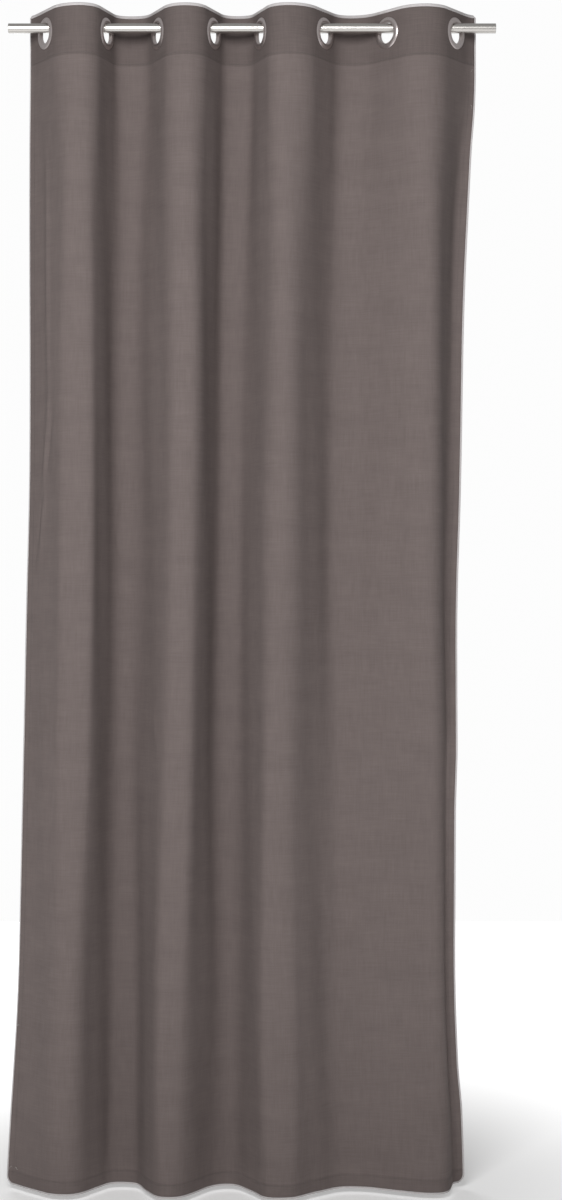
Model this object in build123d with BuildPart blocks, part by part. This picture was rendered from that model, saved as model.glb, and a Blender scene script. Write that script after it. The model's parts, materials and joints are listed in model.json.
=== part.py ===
"""Eyelet curtain panel hanging on its pole.

The panel is a flat cloth that runs to and fro across the pole. At each eyelet it is straight, and between
two eyelets it bends into a round fold, in turn towards the room and towards the wall. In the solid model the
cloth is cut along the crest of each fold, so that every strip holds one eyelet and can slide along the pole.

Frame: +Z up, +X to the right, the room on the -Y side, the origin on the pole's axis at its middle.
Lengths are in millimetres and angles in degrees.
"""

import os
from math import cos, degrees, radians, sin, sqrt, tan

from build123d import *

# Pole
pole_diameter = 20.0
pole_wall = 1.0
pole_overhang = 78.0
pole_end_chamfer = 0.4

# Eyelets
eyelet_hole_diameter = 43.0
eyelet_outer_diameter = 65.0
eyelet_sheet = 0.8
eyelet_rim = 0.5
eyelet_inner_lip = 1.6
eyelet_front_crown = 3.0
eyelet_back_crown = 2.2
eyelet_barrel_overhang = 1.8

# Cloth
cloth_thickness = 1.0
heading_tape_thickness = 0.8
cloth_height = 2445.0
eyelet_to_cloth_top = 45.0
heading_depth = 100.0
bottom_hem_depth = 27.0
side_hem_width = 20.0
edge_tail = 32.0
flat_margin = 1.5
eyelet_pitch = 121.4

# Edge binding, seams and label
top_binding_height = 5.0
bottom_binding_height = 3.0
side_binding_width = 3.0
thread_width = 1.0
thread_height = 0.4
seam_inset = 3.0
label_width = 38.0
label_height = 20.0
label_thickness = 0.4

# Fits
hang_clearance = 0.3
ring_clearance = 0.3
snap_clearance = 0.2
cloth_hole_clearance = 0.4
ply_clearance = 0.2
fold_gap = 0.3
hole_cut_reach = 10.0
fit_steps = 200

# The cloth's line from above: how steeply it crosses the pole at each eyelet, and how far each free side edge
# curls back. The folds keep these slopes all the way down, but they lean and widen: the place of the first
# crossing from the middle, and the distance from each crossing to the next, in eyelet pitches, at the heading
# and at the bottom hem
fold_slopes = (58.0, 70.0, 64.0, 66.0, 67.0, 57.0, 48.0, 54.0)
tail_turns = (6.0, 22.0)
heading_first = -3.525
heading_spacing = (1.03, 0.89, 0.94, 0.82, 1.08, 1.08, 1.16)
hem_first = -3.71
hem_spacing = (1.11, 0.77, 0.86, 1.00, 0.97, 1.38, 0.99)

# Worked out from the sizes above
pole_radius = pole_diameter / 2
hole_radius = eyelet_hole_diameter / 2
ring_radius = eyelet_outer_diameter / 2
barrel_radius = hole_radius + eyelet_sheet
flat_half = ring_radius + flat_margin
tape_half = heading_tape_thickness / 2
ply_inner = tape_half + ply_clearance
ply_outer = ply_inner + cloth_thickness
ring_seat = ply_outer + ring_clearance
ring_tip = ring_seat + eyelet_barrel_overhang

# Heights; the cloth's top is set from where an eyelet square to the pole would hang
cloth_top = pole_radius + hang_clearance - hole_radius + eyelet_to_cloth_top
cloth_bottom = cloth_top - cloth_height
heading_bottom = cloth_top - heading_depth
hem_top = cloth_bottom + bottom_hem_depth

# Offsets from the heading's middle line, positive towards the wall: each pair holds one layer
front_ply = (-ply_outer, -ply_inner)
back_ply = (ply_inner, ply_outer)
side_hem_ply = (-ply_inner + ply_clearance, -ply_inner + ply_clearance + cloth_thickness)
whole_stack = (-ply_outer, ply_outer)
tape_ply = (-tape_half, tape_half)
thread_ply = (-ply_outer - thread_height, -ply_outer)
label_ply = (ply_outer + ply_clearance, ply_outer + ply_clearance + label_thickness)


class Bend:
    """A round bend of the cloth, measured from the end of the straight stretch that it leaves."""

    def __init__(self, centre, radius, start, sense, bulge, turn):
        self.centre = centre
        self.radius = radius
        self.start = start
        self.sense = sense
        self.bulge = bulge
        self.turn = turn

    def arc(self, offset, turn_from, turn_to):
        """Arc of one layer's face between two turns; it joins the line that is being drawn."""
        radius = self.radius + self.bulge * offset
        start = self.start + self.sense * turn_from
        return CenterArc(self.centre, radius, start, self.sense * (turn_to - turn_from))

    def turn_of(self, length):
        """Angle that a length of cloth takes in this bend."""
        return degrees(length / self.radius)


class Strip:
    """One strip of cloth between two fold crests, at one height: bend, straight stretch, bend."""

    def __init__(self, line, index):
        self.side = -1 if index % 2 == 0 else 1
        self.slope = fold_slopes[index]
        self.heading = self.side * self.slope
        self.centre = Vector(line.crossings[index], 0)
        along = Vector(1, 0).rotate(Axis.Z, self.heading)
        to_wall = Vector(0, 1).rotate(Axis.Z, self.heading)
        start = self.centre - along * flat_half
        end = self.centre + along * flat_half
        left_radius, left_turn = line.bend_size(index, -1)
        right_radius, right_turn = line.bend_size(index, 1)
        self.left = Bend(
            start + to_wall * (self.side * left_radius),
            left_radius,
            self.heading - self.side * 90,
            -self.side,
            -self.side,
            left_turn,
        )
        self.right = Bend(
            end - to_wall * (self.side * right_radius),
            right_radius,
            self.heading + self.side * 90,
            -self.side,
            self.side,
            right_turn,
        )

    def band(self, offsets):
        """Face of one layer over the whole strip, in the sketch that is being drawn."""
        with BuildLine() as outline:
            lefts = [self.left.arc(offset, 0, self.left.turn) for offset in offsets]
            rights = [self.right.arc(offset, 0, self.right.turn) for offset in offsets]
            for left, right in zip(lefts, rights):
                Line(left @ 0, right @ 0)
            Line(lefts[0] @ 1, lefts[1] @ 1)
            Line(rights[0] @ 1, rights[1] @ 1)
        make_face(outline.edges())

    def straight_band(self, offsets, shift, length):
        """Face of a short layer on the straight stretch, in the sketch that is being drawn."""
        along = Vector(1, 0).rotate(Axis.Z, self.heading)
        to_wall = Vector(0, 1).rotate(Axis.Z, self.heading)
        middle = self.centre + along * shift + to_wall * (sum(offsets) / 2)
        with Locations(Location(middle, (0, 0, self.heading))):
            Rectangle(length, offsets[1] - offsets[0])

    def eyelet_centre(self):
        """Middle of the eyelet: the end of its slanting barrel, an oval as seen along the pole, rests on it."""
        shift = ring_tip * cos(radians(self.slope))
        reach = hole_radius * sin(radians(self.slope))
        room = []
        for step in range(-fit_steps, fit_steps + 1):
            across = pole_radius * step / fit_steps
            if abs(across - shift) < reach:
                oval_top = hole_radius * sqrt(1 - ((across - shift) / reach) ** 2)
                room.append(oval_top - sqrt(pole_radius**2 - across**2))
        return Vector(self.centre.X, self.centre.Y, hang_clearance - min(room))


def edge_band(bend, offsets, turn_from, turn_to):
    """Face of one layer along a free side edge, in the sketch that is being drawn."""
    with BuildLine() as outline:
        arcs = [bend.arc(offset, turn_from, turn_to) for offset in offsets]
        Line(arcs[0] @ 0, arcs[1] @ 0)
        Line(arcs[0] @ 1, arcs[1] @ 1)
    make_face(outline.edges())


class FoldLine:
    """The whole cloth's line from above, at one height."""

    def __init__(self, first, spacing):
        self.crossings = [eyelet_pitch * (first + sum(spacing[:index])) for index in range(len(fold_slopes))]

    def fold_depth(self, index):
        """Depth of the fold's crest from the pole's axis, between a crossing and the next one."""
        span = self.crossings[index + 1] - self.crossings[index]
        spread = sum(1 / tan(radians(slope) / 2) for slope in fold_slopes[index : index + 2])
        return (span + 2 * flat_half) / spread

    def bend_size(self, index, direction):
        """Radius and turn of the bend on the left (-1) or right (1) of a crossing."""
        slope = fold_slopes[index]
        last = len(fold_slopes) - 1
        if (index, direction) in ((0, -1), (last, 1)):
            turn = tail_turns[0 if direction < 0 else 1]
            return edge_tail / radians(turn), turn
        depth = self.fold_depth(index if direction > 0 else index - 1)
        radius = (depth - flat_half * sin(radians(slope))) / (1 - cos(radians(slope)))
        return radius, slope - degrees(fold_gap / 2 / radius)


heading_line = FoldLine(heading_first, heading_spacing)
hem_line = FoldLine(hem_first, hem_spacing)
heading_strips = [Strip(heading_line, index) for index in range(len(fold_slopes))]
hem_strips = [Strip(hem_line, index) for index in range(len(fold_slopes))]
eyelet_count = len(heading_strips)
pole_length = 2 * (max(-heading_line.crossings[0], heading_line.crossings[-1]) + pole_overhang)

os.makedirs("parts", exist_ok=True)


def save(part, name):
    """Label a finished piece and write it to its own file."""
    part.label = name
    export_step(part, f"parts/{name}.step")


def eyelet_section(strip):
    """Plane through an eyelet's axis: local x is up, local y points at the room."""
    to_room = Vector(0, -1, 0).rotate(Axis.Z, strip.heading)
    return Plane(origin=strip.eyelet_centre(), x_dir=(0, 0, 1), z_dir=Vector(0, 0, 1).cross(to_room))


def eyelet_face(strip):
    """Plane of the cloth at an eyelet, its normal towards the room."""
    to_room = Vector(0, -1, 0).rotate(Axis.Z, strip.heading)
    return Plane(origin=strip.eyelet_centre(), z_dir=to_room)


def pressed_dome(inner, under, crown, side):
    """Draw a ring's domed sheet from its inner lip over the crown to its foot and back under the dome.

    The local x is the radius and the local y the height; side is 1 in front of the cloth and -1 behind it.
    """
    middle = (inner + ring_radius) / 2
    lip = Vector(inner, side * (ring_seat + eyelet_inner_lip))
    rim = Vector(ring_radius, side * (ring_seat + eyelet_rim))
    foot = Vector(ring_radius - eyelet_sheet, side * ring_seat)
    under_lip = Vector(under, side * (ring_seat + eyelet_inner_lip - eyelet_sheet))
    ThreePointArc(lip, (middle, side * (ring_seat + crown)), rim)
    Polyline(rim, (ring_radius, side * ring_seat), foot)
    ThreePointArc(foot, (middle, side * (ring_seat + crown - eyelet_sheet)), under_lip)
    return lip, under_lip


def cut_eyelet_hole(strip):
    """Cut the eyelet's hole through every layer of the part that is being built."""
    with BuildSketch(eyelet_face(strip)) as hole:
        Circle(barrel_radius + cloth_hole_clearance)
    extrude(hole.sketch, amount=hole_cut_reach, both=True, mode=Mode.SUBTRACT)


# Pole: a thin tube with plain cut ends
with BuildPart() as pole_tube:
    with BuildSketch(Plane.YZ.offset(-pole_length / 2)):
        Circle(pole_radius)
        Circle(pole_radius - pole_wall, mode=Mode.SUBTRACT)
    extrude(amount=pole_length)
    end_faces = pole_tube.faces().filter_by(Axis.X)
    chamfer(end_faces.edges().sort_by(SortBy.RADIUS)[-2:], pole_end_chamfer)
save(pole_tube.part, "pole_tube")

for number, (top, bottom) in enumerate(zip(heading_strips, hem_strips), start=1):
    is_first = number == 1
    is_last = number == eyelet_count

    # Cloth strip: one layer all the way down, turned over at the heading and at the bottom hem
    with BuildPart() as face_cloth:
        with BuildSketch(Plane.XY.offset(heading_bottom)):
            top.band(front_ply)
        with BuildSketch(Plane.XY.offset(hem_top)):
            bottom.band(front_ply)
        loft(ruled=True)
        for plies, low, high in (
            (front_ply, heading_bottom, cloth_top),
            (back_ply, heading_bottom, cloth_top),
            (whole_stack, cloth_top - cloth_thickness, cloth_top),
        ):
            with BuildSketch(Plane.XY.offset(low)):
                top.band(plies)
            extrude(amount=high - low)
        for plies, low, high in (
            (front_ply, cloth_bottom, hem_top),
            (back_ply, cloth_bottom, hem_top),
            (whole_stack, cloth_bottom, cloth_bottom + cloth_thickness),
        ):
            with BuildSketch(Plane.XY.offset(low)):
                bottom.band(plies)
            extrude(amount=high - low)
        cut_eyelet_hole(top)
    save(face_cloth.part, f"face_cloth_{number}")

    # Stiff tape inside the heading
    with BuildPart() as heading_tape:
        with BuildSketch(Plane.XY.offset(heading_bottom)):
            top.band(tape_ply)
        extrude(amount=heading_depth - cloth_thickness - ply_clearance)
        cut_eyelet_hole(top)
    save(heading_tape.part, f"heading_tape_{number}")

    # Eyelet, front half: a domed ring pressed from sheet, with the barrel that goes through the cloth
    with BuildPart() as front_ring:
        with BuildSketch(eyelet_section(top)):
            with BuildLine():
                lip, under_lip = pressed_dome(hole_radius, barrel_radius, eyelet_front_crown, 1)
                Polyline(under_lip, (barrel_radius, -ring_tip), (hole_radius, -ring_tip), lip)
            make_face()
        revolve(axis=Axis(eyelet_face(top).origin, eyelet_face(top).z_dir))
    save(front_ring.part, f"eyelet_front_ring_{number}")

    # Eyelet, back half: a domed ring that snaps over the barrel
    with BuildPart() as back_ring:
        with BuildSketch(eyelet_section(top)):
            with BuildLine():
                bore = barrel_radius + snap_clearance
                lip, under_lip = pressed_dome(bore, bore, eyelet_back_crown, -1)
                Line(under_lip, lip)
            make_face()
        revolve(axis=Axis(eyelet_face(top).origin, eyelet_face(top).z_dir))
    save(back_ring.part, f"eyelet_back_ring_{number}")

    # Edge binding: along the top and bottom edges, and down the side on the two outer strips
    with BuildPart() as edge_trim:
        with BuildSketch(Plane.XY.offset(cloth_top)):
            top.band(whole_stack)
        extrude(amount=top_binding_height)
        with BuildSketch(Plane.XY.offset(cloth_bottom)):
            bottom.band(whole_stack)
        extrude(amount=-bottom_binding_height)
        for edge_here, top_bend, bottom_bend in (
            (is_first, top.left, bottom.left),
            (is_last, top.right, bottom.right),
        ):
            if edge_here:
                bends = ((top_bend, heading_bottom), (bottom_bend, hem_top))
                for bend, height in bends:
                    with BuildSketch(Plane.XY.offset(height)):
                        last_turn = bend.turn + bend.turn_of(side_binding_width)
                        edge_band(bend, front_ply, bend.turn, last_turn)
                loft(ruled=True)
                with BuildSketch(Plane.XY.offset(heading_bottom)):
                    last_turn = top_bend.turn + top_bend.turn_of(side_binding_width)
                    edge_band(top_bend, whole_stack, top_bend.turn, last_turn)
                extrude(amount=heading_depth + top_binding_height)
                with BuildSketch(Plane.XY.offset(hem_top)):
                    last_turn = bottom_bend.turn + bottom_bend.turn_of(side_binding_width)
                    edge_band(bottom_bend, whole_stack, bottom_bend.turn, last_turn)
                extrude(amount=-bottom_hem_depth - bottom_binding_height)
    save(edge_trim.part, f"edge_trim_{number}")

    # Seam threads of the heading and of the bottom hem, on the front of the cloth
    with BuildPart() as hem_thread:
        with BuildSketch(Plane.XY.offset(heading_bottom + seam_inset)):
            top.band(thread_ply)
        extrude(amount=thread_width)
        with BuildSketch(Plane.XY.offset(hem_top - seam_inset)):
            bottom.band(thread_ply)
        extrude(amount=-thread_width)
    save(hem_thread.part, f"hem_thread_{number}")

# Side hems: the cloth turned over behind each free side edge, between the heading and the bottom hem
for name, top_bend, bottom_bend in (
    ("side_hem_left", heading_strips[0].left, hem_strips[0].left),
    ("side_hem_right", heading_strips[-1].right, hem_strips[-1].right),
):
    with BuildPart() as side_hem:
        for bend, height in (
            (top_bend, heading_bottom - ply_clearance),
            (bottom_bend, hem_top + ply_clearance),
        ):
            with BuildSketch(Plane.XY.offset(height)):
                edge_band(bend, side_hem_ply, bend.turn - bend.turn_of(side_hem_width), bend.turn)
        loft(ruled=True)
    save(side_hem.part, name)

# Care label: a blank tape sewn flat on the back of the bottom hem
with BuildPart() as care_label:
    with BuildSketch(Plane.XY.offset(cloth_bottom + seam_inset)):
        hem_strips[-1].straight_band(label_ply, 0, label_width)
    extrude(amount=label_height)
save(care_label.part, "care_label")
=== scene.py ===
"""Eyelet curtain panel: the cloth with its edges, seams and fittings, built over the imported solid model.

The cloth is described by flat coordinates: u runs along its width from the left edge, z is the height and
the offset is the distance behind the middle line of its layers. All lengths are in metres and all angles in
radians.
"""

import json
import math

import bpy
import numpy as np
from bpy.props import FloatProperty, FloatVectorProperty, PointerProperty
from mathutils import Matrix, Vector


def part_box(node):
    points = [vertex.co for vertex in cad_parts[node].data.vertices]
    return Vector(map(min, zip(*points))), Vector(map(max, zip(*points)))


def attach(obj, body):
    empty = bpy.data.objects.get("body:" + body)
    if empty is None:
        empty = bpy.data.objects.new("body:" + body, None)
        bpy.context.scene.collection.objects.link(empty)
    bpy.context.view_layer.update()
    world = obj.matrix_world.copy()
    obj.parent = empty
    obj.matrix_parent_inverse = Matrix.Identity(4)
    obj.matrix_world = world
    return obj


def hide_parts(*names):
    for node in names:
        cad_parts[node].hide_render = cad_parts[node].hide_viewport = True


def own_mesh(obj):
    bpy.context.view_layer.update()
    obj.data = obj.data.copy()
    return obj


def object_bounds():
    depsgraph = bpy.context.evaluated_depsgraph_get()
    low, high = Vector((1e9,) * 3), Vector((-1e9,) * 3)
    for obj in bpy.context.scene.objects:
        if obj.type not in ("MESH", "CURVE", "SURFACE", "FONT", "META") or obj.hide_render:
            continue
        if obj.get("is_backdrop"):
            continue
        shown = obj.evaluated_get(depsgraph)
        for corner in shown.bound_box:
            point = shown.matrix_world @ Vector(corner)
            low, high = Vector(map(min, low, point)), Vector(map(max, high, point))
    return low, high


bl_info = {
    "name": "Eyelet curtain panel",
    "version": (1, 0, 0),
    "blender": (4, 5, 0),
    "location": "View3D > Sidebar > Curtain",
    "description": "Builds a gathered eyelet curtain panel on its steel pole",
    "category": "Object",
}

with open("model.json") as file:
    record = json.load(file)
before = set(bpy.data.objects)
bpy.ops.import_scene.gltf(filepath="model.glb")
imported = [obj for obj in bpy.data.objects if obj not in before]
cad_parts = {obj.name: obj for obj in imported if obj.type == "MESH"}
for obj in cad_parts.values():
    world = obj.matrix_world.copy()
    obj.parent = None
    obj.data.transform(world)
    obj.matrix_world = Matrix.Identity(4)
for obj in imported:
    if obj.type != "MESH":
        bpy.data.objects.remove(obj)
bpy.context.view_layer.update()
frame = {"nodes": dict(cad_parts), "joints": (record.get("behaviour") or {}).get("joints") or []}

MM = 0.001
EYELETS = 8

# How the heading lies at the eyelets and past the two outer ones, as in the solid model
STRAIGHT_HALF = 34.0 * MM
EDGE_TAIL = 32.0 * MM
EDGE_TURNS = (math.radians(6.0), math.radians(22.0))
LAYER_MIDDLE = 1.1 * MM
PLY = 1.0 * MM
CUT_HOLE = 24.5 * MM
BUMP_DEPTH = 0.2 * MM

# Spacing of the cloth's rows of points: at a seam, near one and on the plain cloth
FINE = 1.5 * MM
CLOSE = 5.0 * MM
PLAIN = 13.0 * MM

# How far each fold wanders sideways on its way down, in millimetres, at these shares of the way from the
# heading to the floor. The rows are the left edge, the seven fold crests and the right edge.
WANDER_AT = (0.0, 0.21, 0.39, 0.48, 0.66, 0.83, 0.92, 1.0)
WANDER = (
    (0, 0, 0, -5, -15, -25, -39, -52),
    (0, 0, 0, -2, -10, -23, -28, -33),
    (0, -8, -10, -12, -16, -16, -17, -17),
    (0, 0, -2, -4, -17, -29, -33, -35),
    (0, -12, -18, -21, -22, -20, -22, -24),
    (0, -8, -13, -16, -24, -24, -20, -20),
    (0, -12, -15, -18, -18, -20, -10, -3),
    (0, 6, 6, 6, 22, 31, 28, 22),
    (0, -23, -30, -38, -36, -36, -28, -21),
)

# Soft creases and dents in the cloth: both ends as (share of the panel's width as it hangs, share of its
# height from the top), half width in millimetres, and how far it stands out towards the room in millimetres
CREASES = (
    ((0.040, 0.10), (0.052, 0.36), 8.0, 4.0),
    ((0.052, 0.32), (0.030, 0.47), 7.0, 5.0),
    ((0.064, 0.33), (0.016, 0.475), 5.0, -3.6),
    ((0.198, 0.445), (0.226, 0.470), 5.0, -3.0),
    ((0.500, 0.402), (0.560, 0.414), 8.0, 2.2),
    ((0.535, 0.392), (0.590, 0.405), 7.0, -2.0),
    ((0.820, 0.24), (0.836, 0.42), 12.0, 1.6),
    ((0.300, 0.59), (0.312, 0.63), 7.0, 1.3),
    ((0.700, 0.70), (0.712, 0.82), 14.0, 1.5),
)


# ---------------------------------------------------------------- settings


def length_setting(name, description, value, low, high):
    return FloatProperty(name=name, description=description, default=value, unit="LENGTH", min=low, max=high)


def colour_setting(name, description, value):
    return FloatVectorProperty(
        name=name, description=description, default=value, subtype="COLOR", size=3, min=0.0, max=1.0
    )


class CurtainSizes(bpy.types.PropertyGroup):
    """Sizes of the cloth's make-up"""

    ply: length_setting("Cloth thickness", "Thickness of one layer of the cloth", PLY, 0.0003, 0.002)
    stitch_length: length_setting(
        "Stitch length", "Distance from one stitch to the next", 0.004, 0.002, 0.01
    )
    stitch_radius: length_setting("Thread radius", "Radius of the sewing thread", 0.00036, 0.0001, 0.001)
    corner_radius: length_setting(
        "Corner radius", "Rounding of the two lower corners", 0.017, 0.002, 0.05
    )
    side_hem: length_setting(
        "Side hem width", "Width of the cloth turned over behind each side edge", 0.020, 0.008, 0.05
    )
    seam_inset: length_setting(
        "Seam inset", "Distance of a seam from the edge of its hem", 0.003, 0.001, 0.01
    )
    thread_pitch: length_setting(
        "Weave pitch", "Distance from one woven thread to the next", 0.0011, 0.0003, 0.005
    )


class CurtainColours(bpy.types.PropertyGroup):
    """Colours of the cloth and its fittings"""

    cloth: colour_setting("Cloth", "Colour of the face cloth", (0.178, 0.146, 0.139))
    binding: colour_setting(
        "Edge binding", "Colour of the pale binding round the edges", (0.60, 0.57, 0.57)
    )
    thread: colour_setting("Thread", "Colour of the sewing thread", (0.090, 0.074, 0.071))
    loose_thread: colour_setting(
        "Thread ends", "Colour of the pale thread ends at the edges", (0.62, 0.60, 0.58)
    )
    tape: colour_setting(
        "Heading tape", "Colour of the stiff tape inside the heading", (0.72, 0.70, 0.67)
    )
    label: colour_setting("Care label", "Colour of the blank label on the back", (0.80, 0.79, 0.76))
    pole: colour_setting("Pole", "Colour of the steel pole", (0.56, 0.54, 0.515))
    eyelet: colour_setting("Eyelets", "Colour of the eyelets' nickel", (0.58, 0.52, 0.51))
    floor: colour_setting("Floor", "Colour of the pale floor", (0.90, 0.90, 0.90))


def sizes():
    return bpy.context.scene.curtain_sizes


def colours():
    return bpy.context.scene.curtain_colours


# ---------------------------------------------------------------- the cloth's surface


def node_names(kind):
    """Names of one kind of solid, one for each eyelet."""
    return [f"{kind}_{number}" for number in range(1, EYELETS + 1)]


def joint(name):
    return next(found for found in frame["joints"] if found["name"] == name)


def ring_facts(name):
    """Height of a ring's axis and the slope of the cloth that it sits in."""
    points = np.array([vertex.co for vertex in frame["nodes"][name].data.vertices])
    axis = np.linalg.svd(points - points.mean(axis=0), full_matrices=False)[2][2]
    low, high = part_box(name)
    return (low[2] + high[2]) / 2, math.atan2(abs(axis[0]), abs(axis[1]))


def smooth_step(value):
    value = np.clip(value, 0.0, 1.0)
    return value * value * (3.0 - 2.0 * value)


class Panel:
    """Where the cloth lies.

    Its folds wander below the heading and keep the cloth's flat width, except where their depth is held back.
    """

    # Width of one column of the tables, columns kept past each edge, and levels from heading to floor
    STEP = 1.0 * MM
    PAD = 8
    LEVELS = 90

    # Share of the way down over which the folds soften, and how much of a strip is rounded once they have
    SOFTENING = 0.16
    ROUNDING = 0.68

    # Share of the outer strips' slope that is left at the side edges below the heading
    EDGE_REST = (0.9, 0.3)

    # Depth that is free, and the further depth that the folds are eased into
    ROOM_BEHIND = (42.0 * MM, 26.0 * MM)
    ROOM_IN_FRONT = (58.0 * MM, 16.0 * MM)

    def __init__(self):
        self.crossings = [joint(f"turn_{number}")["pos_m"][0] for number in range(1, EYELETS + 1)]
        facts = [ring_facts(name) for name in node_names("eyelet_front_ring")]
        self.ring_z = [height for height, slope in facts]
        self.slopes = [slope for height, slope in facts]
        self.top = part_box("face_cloth_1")[1][2]
        self.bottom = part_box("face_cloth_1")[0][2]
        self.top_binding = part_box("edge_trim_1")[1][2] - self.top
        self.bottom_binding = self.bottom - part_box("edge_trim_1")[0][2]
        self.heading_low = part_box("heading_tape_1")[0][2]
        self.hem_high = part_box("side_hem_left")[0][2]
        reach = self.crossings[-1] - self.crossings[0]
        self.keep = 1.0 - abs(joint("draw")["range_m"][0]) / reach
        self.lay_out_heading()
        self.trace()

    def ramp(self, index, after):
        """Flat length over which the cloth turns from an eyelet's slope to the next crest, or to its edge."""
        if (index, after) in ((0, False), (EYELETS - 1, True)):
            return EDGE_TAIL
        left = index if after else index - 1
        pair = self.slopes[left : left + 2]
        span = self.crossings[left + 1] - self.crossings[left]
        depth = (span + 2 * STRAIGHT_HALF) / sum(1 / math.tan(slope / 2) for slope in pair)
        slope = self.slopes[index]
        radius = (depth - STRAIGHT_HALF * math.sin(slope)) / (1 - math.cos(slope))
        return radius * slope

    def lay_out_heading(self):
        """Flat widths of the strips from crest to crest, and where the eyelets lie on the flat cloth."""
        self.ramps = [(self.ramp(index, False), self.ramp(index, True)) for index in range(EYELETS)]
        widths = [before + 2 * STRAIGHT_HALF + after for before, after in self.ramps]
        self.starts = np.concatenate([[0.0], np.cumsum(widths)])
        self.width = float(self.starts[-1])
        self.flat_eyelets = [
            float(start + before + STRAIGHT_HALF) for start, (before, after) in zip(self.starts, self.ramps)
        ]
        outer_slopes = (self.slopes[0], self.slopes[-1])
        self.edge_shares = [1 - turn / slope for turn, slope in zip(EDGE_TURNS, outer_slopes)]

    def strip_shape(self, index, share, along):
        """How much of its steepest slope a strip has, over its flat width, at one share of the way down."""
        before, after = self.ramps[index]
        length = self.starts[index + 1] - self.starts[index]
        settle = float(smooth_step(share / self.SOFTENING))
        ends = [0.0, 0.0]
        if index == 0:
            ends[0] = self.edge_shares[0] + (self.EDGE_REST[0] - self.edge_shares[0]) * settle
        if index == EYELETS - 1:
            ends[1] = self.edge_shares[1] + (self.EDGE_REST[1] - self.edge_shares[1]) * settle
        from_left, from_right = along, length - along
        firm = np.minimum(
            ends[0] + (1 - ends[0]) * np.clip(from_left / before, 0, 1),
            ends[1] + (1 - ends[1]) * np.clip(from_right / after, 0, 1),
        )
        half = self.ROUNDING * length / 2
        soft = np.minimum(
            ends[0] + (1 - ends[0]) * np.sin(math.pi / 2 * np.clip(from_left / half, 0, 1)),
            ends[1] + (1 - ends[1]) * np.sin(math.pi / 2 * np.clip(from_right / half, 0, 1)),
        )
        return firm * (1 - settle) + soft * settle

    def steepest(self, shape, step, wanted):
        """The slope at which a strip spans the wanted distance."""
        low, high = 0.02, 1.52
        for attempt in range(36):
            middle = (low + high) / 2
            if np.sum(np.cos(middle * shape)) * step > wanted:
                low = middle
            else:
                high = middle
        return (low + high) / 2

    def wander(self, share):
        """Sideways shift of each crest at one share of the way down, without corners."""
        spread = 0.06
        taps = np.linspace(-1.0, 1.0, 9)
        weights = 1.0 - taps * taps * 0.95
        shares = np.abs(share + spread * taps)
        shares = np.where(shares > 1.0, 1.0, shares)
        fade = float(smooth_step(share / 0.08))
        shifts = [np.interp(shares, WANDER_AT, row) @ weights / weights.sum() for row in WANDER]
        return np.array(shifts) * MM * fade

    def held_depth(self, y):
        """Depth of the folds, eased in towards the room they have in front and behind."""
        for side, free, room in ((1.0, *self.ROOM_BEHIND), (-1.0, *self.ROOM_IN_FRONT)):
            over = np.maximum(side * y - free, 0)
            y = y + side * (room * (1 - np.exp(-over / room)) - over)
        return y

    def trace(self):
        """Tables of the cloth's place and heading over its flat width, at levels down from the heading."""
        counts = [max(8, round((self.starts[i + 1] - self.starts[i]) / self.STEP)) for i in range(EYELETS)]
        flat = []
        for index, count in enumerate(counts):
            step = (self.starts[index + 1] - self.starts[index]) / count
            flat.append(self.starts[index] + (np.arange(count) + 0.5) * step)
        middles = np.concatenate(flat)
        self.flat = np.arange(-self.PAD, round(self.width / self.STEP) + self.PAD + 1) * self.STEP
        rest = None
        rows = []
        for level in range(self.LEVELS):
            share = level / (self.LEVELS - 1)
            shift = self.wander(share)
            turns = []
            for index, count in enumerate(counts):
                length = self.starts[index + 1] - self.starts[index]
                step = length / count
                shape = self.strip_shape(index, share, (np.arange(count) + 0.5) * step)
                if level == 0:
                    slope = self.slopes[index]
                    span = np.sum(np.cos(slope * shape)) * step
                    if rest is None:
                        rest = []
                    rest.append(span)
                else:
                    slope = self.steepest(shape, step, rest[index] + shift[index + 1] - shift[index])
                side = -1.0 if index % 2 == 0 else 1.0
                turns.append(side * slope * shape)
            heading = np.interp(self.flat, middles, np.concatenate(turns))
            heading = np.convolve(np.pad(heading, 3, mode="edge"), np.ones(7) / 7, mode="valid")
            x = np.cumsum(np.cos(heading)) * self.STEP
            y = np.cumsum(np.sin(heading)) * self.STEP
            if level == 0:
                x += self.crossings[0] - np.interp(self.flat_eyelets[0], self.flat, x)
                y -= np.mean([np.interp(place, self.flat, y) for place in self.flat_eyelets])
                left_edge = float(np.interp(0.0, self.flat, x))
                crest_mean = np.mean([np.interp(place, self.flat, y) for place in self.starts[1:-1]])
            else:
                x += left_edge + shift[0] - np.interp(0.0, self.flat, x)
                y += crest_mean - np.mean([np.interp(place, self.flat, y) for place in self.starts[1:-1]])
            y = self.held_depth(y)
            rows.append((x, y, np.arctan2(np.gradient(y), np.gradient(x))))
        self.table_x, self.table_y, self.table_heading = (np.array(part) for part in zip(*rows))
        self.creases = [self.crease_line(*crease) for crease in CREASES]

    def level_of(self, z):
        share = (self.heading_low - np.asarray(z, float)) / (self.heading_low - self.bottom)
        return np.clip(share, 0.0, 1.0) * (self.LEVELS - 1)

    def look_up(self, table, u, z):
        column = np.clip(np.asarray(u, float) / self.STEP + self.PAD, 0, len(self.flat) - 1.001)
        level = np.minimum(self.level_of(z), self.LEVELS - 1.001)
        column_low, level_low = column.astype(int), level.astype(int)
        right, down = column - column_low, level - level_low
        upper = table[level_low, column_low] * (1 - right) + table[level_low, column_low + 1] * right
        lower = table[level_low + 1, column_low] * (1 - right) + table[level_low + 1, column_low + 1] * right
        return upper * (1 - down) + lower * down

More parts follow.
